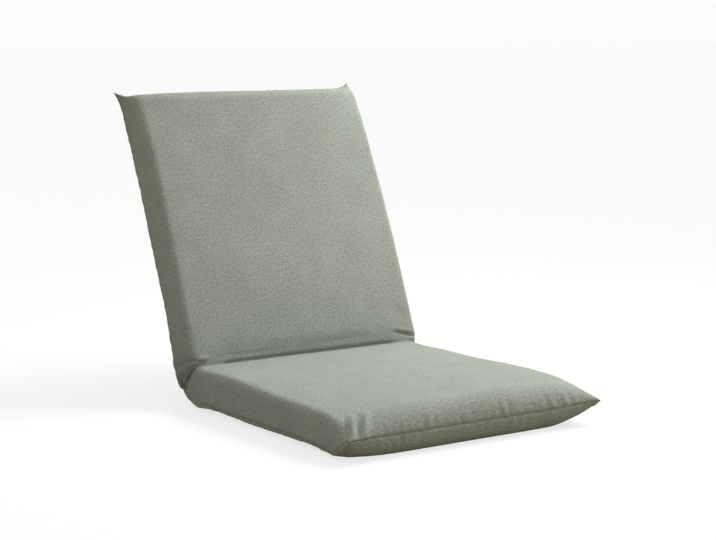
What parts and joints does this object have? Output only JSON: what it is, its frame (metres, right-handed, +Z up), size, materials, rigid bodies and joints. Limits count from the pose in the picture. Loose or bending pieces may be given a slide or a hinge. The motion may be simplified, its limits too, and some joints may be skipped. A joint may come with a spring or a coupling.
{
  "type": "folding floor chair",
  "caption": "Legless floor chair: a padded seat and a padded back in one fabric cover, folding on ratchet hinges inside the pads.",
  "frame": {"origin": "on the floor under the middle of the seat", "axes": "+Z up, +X to the chair's left-hand side as seen from the front, -Y the way the chair faces"},
  "size_m": [0.4216, 0.6102, 0.4449],
  "materials": {
    "cover_fabric": "woven sage green linen-like cloth",
    "foam": "open-cell foam",
    "frame_steel": "satin black powder coat",
    "hinge_steel": "zinc-plated, stamped",
    "spring_steel": "bright spring steel",
    "webbing": "ribbed elastic webbing",
    "zip_cloth": "woven zip tape",
    "zip_nylon": "nylon"
  },
  "bodies": {
    "seat": {"seat_cover_top": "cover_fabric", "seat_cover_bottom": "cover_fabric", "hinge_sleeve": "cover_fabric", "seat_foam_upper": "foam", "seat_foam_lower": "foam", "seat_frame_tube": "frame_steel", "seat_cross_tube": "frame_steel", "ratchet_plate_left": "hinge_steel", "pivot_bush_left": "hinge_steel", "seat_rivet_1_left": "hinge_steel", "seat_rivet_2_left": "hinge_steel", "ratchet_plate_right": "hinge_steel", "pivot_bush_right": "hinge_steel", "seat_rivet_1_right": "hinge_steel", "seat_rivet_2_right": "hinge_steel"},
    "back": {"back_cover_front": "cover_fabric", "back_cover_rear": "cover_fabric", "back_foam_front": "foam", "back_foam_rear": "foam", "back_frame_tube": "frame_steel", "back_cross_tube": "frame_steel", "webbing_strap_1": "webbing", "webbing_strap_2": "webbing", "webbing_strap_3": "webbing", "zip_tape": "zip_cloth", "zip_coil": "zip_nylon", "arm_plate_left": "hinge_steel", "cheek_inner_left": "hinge_steel", "cheek_outer_left": "hinge_steel", "pivot_rivet_left": "hinge_steel", "pawl_pin_left": "hinge_steel", "cheek_rivet_near_left": "hinge_steel", "cheek_rivet_far_left": "hinge_steel", "cheek_rivet_spring_left": "hinge_steel", "back_rivet_1_left": "hinge_steel", "back_rivet_2_left": "hinge_steel", "pawl_spring_left": "spring_steel", "arm_plate_right": "hinge_steel", "cheek_inner_right": "hinge_steel", "cheek_outer_right": "hinge_steel", "pivot_rivet_right": "hinge_steel", "pawl_pin_right": "hinge_steel", "cheek_rivet_near_right": "hinge_steel", "cheek_rivet_far_right": "hinge_steel", "cheek_rivet_spring_right": "hinge_steel", "back_rivet_1_right": "hinge_steel", "back_rivet_2_right": "hinge_steel", "pawl_spring_right": "spring_steel"},
    "pawl_left": {"pawl_left": "hinge_steel"},
    "pawl_right": {"pawl_right": "hinge_steel"},
    "zip_slider": {"zip_slider": "zip_nylon"},
    "zip_pull": {"zip_pull": "zip_nylon"}
  },
  "joints": [
    {"name": "recline", "type": "hinge", "parent": "seat", "child": "back", "pos_m": [0, 0.199, 0.049], "axis": [1, 0, 0], "range_deg": [-67.6, 104], "deforming": ["hinge_sleeve"]},
    {"name": "pawl_left_lift", "type": "hinge", "parent": "back", "child": "pawl_left", "pos_m": [-0.1622, 0.21652, 0.03409], "axis": [1, 0, 0], "range_deg": [0, 9], "deforming": ["pawl_spring_left"]},
    {"name": "pawl_right_lift", "type": "hinge", "parent": "back", "child": "pawl_right", "pos_m": [0.1622, 0.21652, 0.03409], "axis": [1, 0, 0], "range_deg": [0, 9], "deforming": ["pawl_spring_right"]},
    {"name": "zip_slide", "type": "slide", "parent": "back", "child": "zip_slider", "axis": [1, 0, 0], "range_m": [-0.273, 0]},
    {"name": "zip_pull_swing", "type": "hinge", "parent": "zip_slider", "child": "zip_pull", "pos_m": [0.1365, 0.27657, 0.09707], "axis": [1, 0, 0], "range_deg": [0, 175]}
  ]
}
